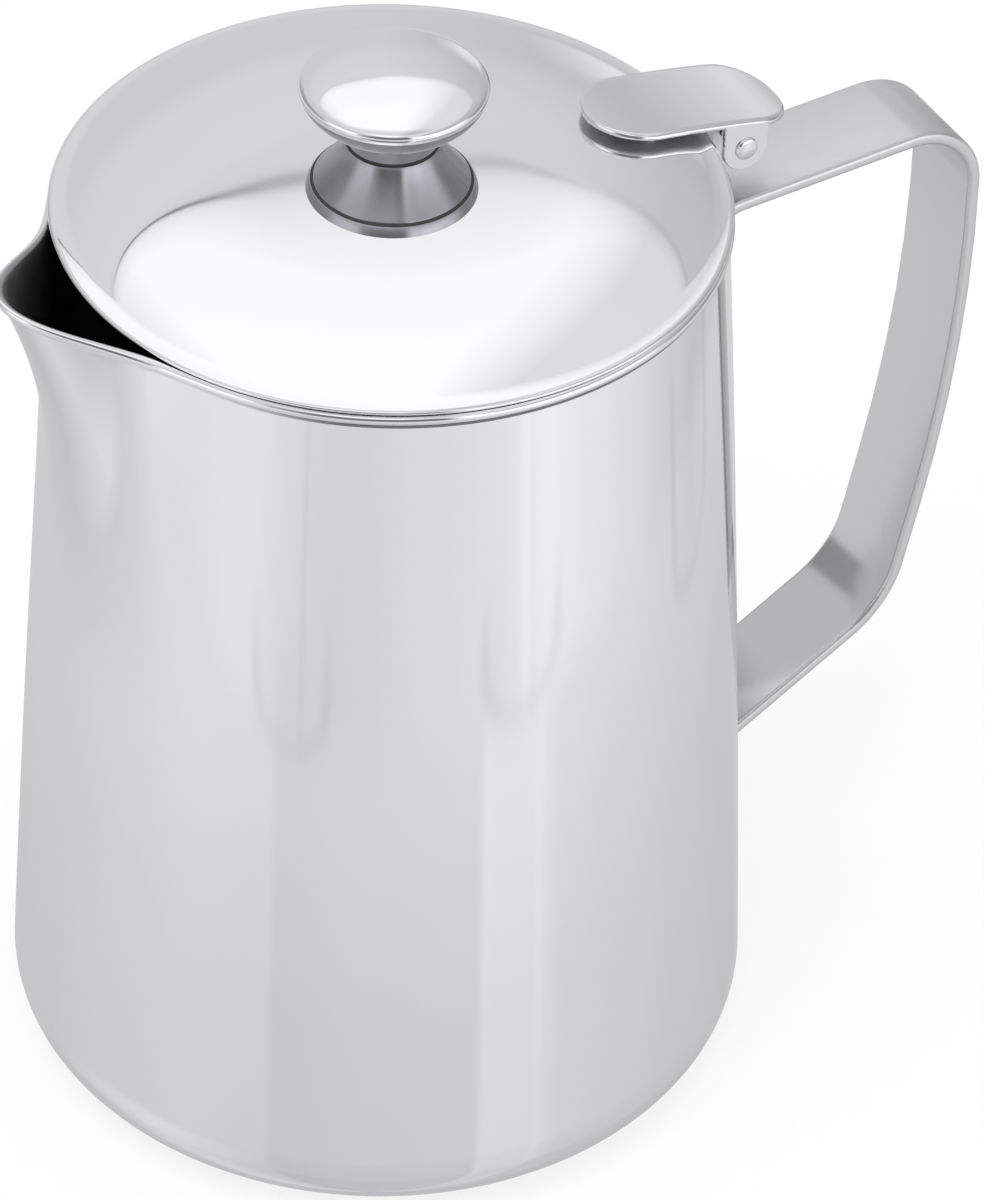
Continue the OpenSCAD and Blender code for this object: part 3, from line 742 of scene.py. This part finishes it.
def leaf_skin(rows, columns, side_steps):
    """The bent plate: rows along it, closer together at both ends, each a ring of points round its section."""
    shares = [-1 + 2 * k / columns for k in range(columns + 1)]
    depths = [k / side_steps for k in range(1, side_steps)]
    ring = [(share, 0.0) for share in shares] + [(1.0, depth) for depth in depths]
    ring += [(share, 1.0) for share in reversed(shares)] + [(-1.0, 1 - depth) for depth in depths]
    verts, faces = [], []
    for i in range(rows + 1):
        x = -leaf_in + (leaf_in + leaf_out) * (1 - math.cos(math.pi * i / rows)) / 2
        width = max(0.02, leaf_half_width(x))
        for share, depth in ring:
            rounded = leaf_edge * (1 - math.sqrt(max(0.0, 1 - (2 * depth - 1) ** 2)))
            reach = max(0.01, width - rounded) * share
            verts.append(((pin_x + x) * mm, reach * mm, (leaf_z(x) - depth * leaf_t) * mm))
    n = len(ring)
    for i in range(rows):
        for j in range(n):
            a, b = i * n + j, i * n + (j + 1) % n
            faces.append((a, b, b + n, a + n))
    faces.append(tuple(range(n)))
    faces.append(tuple(rows * n + j for j in reversed(range(n))))
    mesh = bpy.data.meshes.new("leaf_plate")
    mesh.from_pydata(verts, [], faces)
    return mesh


def ear_plate(y_mid):
    """One ear: an upright plate, half round below the pin, with softened edges and its top in the leaf."""
    outline = [(pin_x + ear_r * math.cos(a), pin_z + ear_r * math.sin(a)) for a in arc_angles(0, -180, 28)]
    outline += [(pin_x + ear_r * share, leaf_z(ear_r * share) - sunk)
                for share, sunk in ((-1, 0.5), (-0.4, 0.25), (0.4, 0.25), (1, 0.5))]
    n = len(outline)
    cx, cz = sum(x for x, z in outline) / n, sum(z for x, z in outline) / n
    shape = bmesh.new()
    rings = []
    for y_off, inset in ((-leaf_t / 2, ear_soft), (-leaf_t / 2 + ear_soft, 0), (leaf_t / 2 - ear_soft, 0),
                         (leaf_t / 2, ear_soft)):
        row = []
        for px, pz in outline:
            dx, dz = px - cx, pz - cz
            keep = 1 - inset / math.hypot(dx, dz)
            row.append(shape.verts.new(((cx + dx * keep) * mm, (y_mid + y_off) * mm, (cz + dz * keep) * mm)))
        rings.append(row)
    for a, b in zip(rings, rings[1:]):
        for j in range(n):
            shape.faces.new((a[j], a[(j + 1) % n], b[(j + 1) % n], b[j]))
    shape.faces.new(list(reversed(rings[0])))
    shape.faces.new(rings[-1])
    mesh = bpy.data.meshes.new("ear")
    shape.to_mesh(mesh)
    shape.free()
    return mesh


leaf_mesh = leaf_skin(120, 24, 5)
ear_y = (strap_w - leaf_t) / 2
joined = bmesh.new()
joined.from_mesh(leaf_mesh)
for y_mid in (-ear_y, ear_y):
    joined.from_mesh(ear_plate(y_mid))
joined.to_mesh(leaf_mesh)
joined.free()
leaf_steel = steel("leaf_sheet", 0.82, 0.14, wave=0.00002, wave_scale=90, scratch=0.000002)
leaf = place_piece("leaf_plate", leaf_mesh, leaf_steel)
# The underside is left as it came from the press.
leaf_mesh.materials.append(steel("leaf_under", 0.9, 0.6, wave=0.000004, wave_scale=60))
for face in leaf_mesh.polygons:
    face.use_smooth = len(face.vertices) == 4
    face.material_index = 1 if face.normal.z < -0.7 else 0
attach(leaf, "lid")
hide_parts("hinge_leaf")

# Two dimples pressed under the tongue are spot welded to the lid.
dimple_r = 2.0
dimple_x, dimple_y = pin_x - leaf_in * 0.62, strap_w / 2 * 0.42
dimple_low = lid_top(math.hypot(dimple_x - dimple_r, dimple_y)) + weld_gap
dimple_high = leaf_z(dimple_x - pin_x) - leaf_t / 2
dimple_line = [(axis_r, dimple_low), (dimple_r - 0.8, dimple_low), (dimple_r - 0.4, dimple_low + 0.1),
               (dimple_r - 0.1, dimple_low + 0.5), (dimple_r, dimple_high), (axis_r, dimple_high)]
for tag, sign in (("near", -1), ("far", 1)):
    mesh = ring_mesh("leaf_dimple_" + tag, dimple_line, lathe_point, even_turns(40))
    for vert in mesh.vertices:
        vert.co.x += dimple_x * mm
        vert.co.y += sign * dimple_y * mm
    dimple = place_piece("leaf_dimple_" + tag, mesh, leaf_steel)
    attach(dimple, "lid")

# Hinge pin and knuckle
# A plain steel rivet with two domed heads runs through the leaf's ears. The knuckle between them is a narrow
# strip of the strap's satin steel that stands on the strap and is curled round the rivet.
pin_r = 1.5
head_r = 2.1
head_h = 0.8
head_y = strap_w / 2 + weld_gap


def pin_point(r, y, angle):
    """A point round the pin's axis, which lies across the jug."""
    a = math.radians(angle)
    return ((pin_x + r * math.cos(a)) * mm, y * mm, (pin_z + r * math.sin(a)) * mm)


def dress_node(name, material):
    """One of the part's own solids, shown as it is in a material."""
    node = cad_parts[name]
    node.data.materials.clear()
    node.data.materials.append(material)
    return node


half_pin = [(axis_r, head_y + head_h)]
half_pin += [(head_r * math.sin(a), head_y + head_h * math.cos(a) ** 0.8)
             for a in arc_angles(0, 90, 10)[1:-1]]
half_pin += [(head_r, head_y), (pin_r, head_y)]
rivet_line = half_pin + [(r, -y) for r, y in reversed(half_pin)]
rivet_steel = steel("rivet_steel", 0.8, 0.16, wave=0.00002, wave_scale=300, scratch=0.000002)
rivet_mesh = ring_mesh("rivet", rivet_line, pin_point, even_turns(64), closed=False)
rivet = place_piece("rivet", rivet_mesh, rivet_steel)
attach(rivet, "lid")
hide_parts("hinge_pin")
dress_node("hinge_knuckle", satin)

# Knob
# Turned stainless pieces stacked on a stud: a base ring, a flared cone, a black washer, a collar and a
# mirror-polished cap. The tool marks of the lathe run round them.
ring_r = 14.1
ring_h = 1.7
groove_h = 0.35
neck_r = 7.8
cone_r = 13.0
collar_z = 9.8
spacer_t = 0.4
collar_r = 8.95
collar_low_r = 7.4
cap_z = 20.2
cap_under = 5.5
cap_crown = 2.4
cap_r = 15.5
cone_z = ring_h + groove_h
cone_top = collar_z - spacer_t
collar_top = cap_z - cap_under


def lathe_steel(name, grey, rough, aniso):
    """Lathe-turned steel: fine rings round the axis, seen as a streaked, cool sheen and a faint relief."""
    made = steel(name, grey, rough)
    nodes, link, shader = tree_of(made)
    shader.inputs["Anisotropic"].default_value = aniso
    shader.inputs["Anisotropic Rotation"].default_value = 0.25
    tint = next(n for n in nodes if n.type == "MIX")
    for i in (6, 7):
        red, green, blue, _ = tint.inputs[i].default_value
        tint.inputs[i].default_value = (red * 0.975, green, blue * 1.055, 1)
    tangent = nodes.new("ShaderNodeTangent")
    tangent.direction_type = "RADIAL"
    tangent.axis = "Z"
    link(tangent.outputs[0], shader.inputs["Tangent"])
    parts = nodes.new("ShaderNodeSeparateXYZ")
    link(nodes.new("ShaderNodeTexCoord").outputs["Object"], parts.inputs[0])
    squares = [math_node(nodes, link, "MULTIPLY", part, part) for part in parts.outputs[:2]]
    out = math_node(nodes, link, "SQRT", math_node(nodes, link, "ADD", *squares))
    marks = nodes.new("ShaderNodeTexNoise")
    marks.noise_dimensions = "1D"
    marks.inputs["Scale"].default_value = 6000
    marks.inputs["Detail"].default_value = 3
    link(math_node(nodes, link, "ADD", out, parts.outputs[2]), marks.inputs["W"])
    relief = bump_node(nodes, link, marks.outputs[0], 0.0000004)
    link(relief.outputs[0], shader.inputs["Normal"])
    return made


def washer_fibre(name):
    """Dull black pressed fibre with a fine, uneven grain."""
    made = bpy.data.materials.new(name)
    nodes, link = new_nodes(made)
    shader = nodes.new("ShaderNodeBsdfPrincipled")
    shader.inputs["Roughness"].default_value = 0.6
    fibre = noise_node(nodes, link, nodes.new("ShaderNodeTexCoord").outputs["Object"], 1500, 2)
    link(ramp_node(nodes, link, fibre, [(0.3, 0.012), (0.8, 0.03)]), shader.inputs["Base Color"])
    link(shader.outputs[0], nodes.new("ShaderNodeOutputMaterial").inputs[0])
    return made


def lathe_piece(name, line, material, node, turns=160, smooth_angle=35):
    """A turned piece: its half outline in mm above the lid, carried round the axis."""
    profile = [(r, lid_z + z) for r, z in line]
    mesh = ring_mesh(name, profile, lathe_point, even_turns(turns))
    piece = place_piece(name, mesh, material)
    mesh.set_sharp_from_angle(angle=math.radians(smooth_angle))
    piece.visible_glossy = False
    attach(piece, "lid")
    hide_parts(node)
    return piece


cone_steel = lathe_steel("turned_steel", 0.42, 0.24, 0.92)
# The collar's copy of the turned steel is darker: painted shade under the cap.
collar_shaded_steel = lathe_steel("turned_neck_shaded", 0.32, 0.24, 0.92)
ring_steel = lathe_steel("turned_ring", 0.46, 0.3, 0.9)

foot_line = [(bore, 0), (ring_r - 0.1, 0), (ring_r, 0.1), (ring_r - 0.1, 0.5), (ring_r - 0.6, ring_h - 0.1),
             (ring_r - 0.75, ring_h), (neck_r, ring_h), (neck_r, cone_z), (bore, cone_z)]
foot = lathe_piece("knob_foot", foot_line, ring_steel, "knob_base_ring")
# The groove between ring and cone is painted near black as its shade.
foot.data.materials.append(steel("groove_painted_shade", 0.08, 0.5))
for face in foot.data.polygons:
    if face.center.z > (lid_z + ring_h - 0.02) * mm:
        face.material_index = 1

flare_rows = 40
flare_shares = [i / flare_rows for i in range(1, flare_rows + 1)]
flare = [(neck_r + (cone_r - neck_r) * (1 - share) ** 1.25, cone_z + (cone_top - cone_z) * share)
         for share in flare_shares]
cone_line = [(bore, cone_z), (cone_r - 0.15, cone_z)] + flare + [(bore, cone_top)]
lathe_piece("knob_flare", cone_line, cone_steel, "knob_cone")

washer_line = [(bore, cone_top), (neck_r - 0.05, cone_top), (neck_r, cone_top + 0.1),
               (neck_r, collar_z - 0.1), (neck_r - 0.05, collar_z), (bore, collar_z)]
lathe_piece("knob_washer", washer_line, washer_fibre("black_fibre"), "knob_spacer")

taper = (collar_r - collar_low_r) / (collar_top - collar_z)
collar_line = [(bore, collar_z), (collar_low_r - 0.1, collar_z),
               (collar_low_r + 0.1 * taper, collar_z + 0.1), (collar_r, collar_top), (bore, collar_top)]
lathe_piece("knob_collar_ring", collar_line, collar_shaded_steel, "knob_collar")

# The cap's outline in shares of its radius, and of its depth below or its crown above its widest ring.
under = [(0.62, -1), (0.70, -0.94), (0.78, -0.86), (0.85, -0.74), (0.90, -0.6), (0.94, -0.45), (0.97, -0.3),
         (0.99, -0.15), (1, 0)]
over = [(0.997, 0.12), (0.99, 0.22), (0.975, 0.33), (0.955, 0.41), (0.93, 0.475), (0.9, 0.53), (0.84, 0.62),
        (0.78, 0.69), (0.70, 0.765), (0.6, 0.83), (0.5, 0.885), (0.4, 0.925), (0.3, 0.956), (0.2, 0.98),
        (0.1, 0.995), (0.05, 0.9988), (0.0007, 1)]
cap_line = [(axis_r, collar_top)] + [(cap_r * r, cap_z + cap_under * z) for r, z in under]
cap_line += [(cap_r * r, cap_z + cap_crown * z) for r, z in over]
mirror_cap = steel("mirror_cap", 0.9, 0.06, wave=0.000004, wave_scale=60)
cap = lathe_piece("knob_cap_disc", cap_line, mirror_cap, "knob_cap", turns=200,
                  smooth_angle=60)
# The cap's underside takes the collar's darker steel as painted shade under the cap.
cap.data.materials.append(collar_shaded_steel)
for face in cap.data.polygons:
    if face.center.z < (lid_z + cap_z - 0.1 * cap_under) * mm:
        face.material_index = 1

# Stud, washer and nut
# A threaded stud runs down from the cap through the knob and the lid. Under the lid a washer and a six-sided
# nut of plain steel pull the knob down on it.
fastener = steel("plain_steel", 0.6, 0.3, wave=0.000005, wave_scale=400, scratch=0.000002)
for name in ("knob_stud", "lid_washer", "lid_nut"):
    dress_node(name, fastener).visible_glossy = False
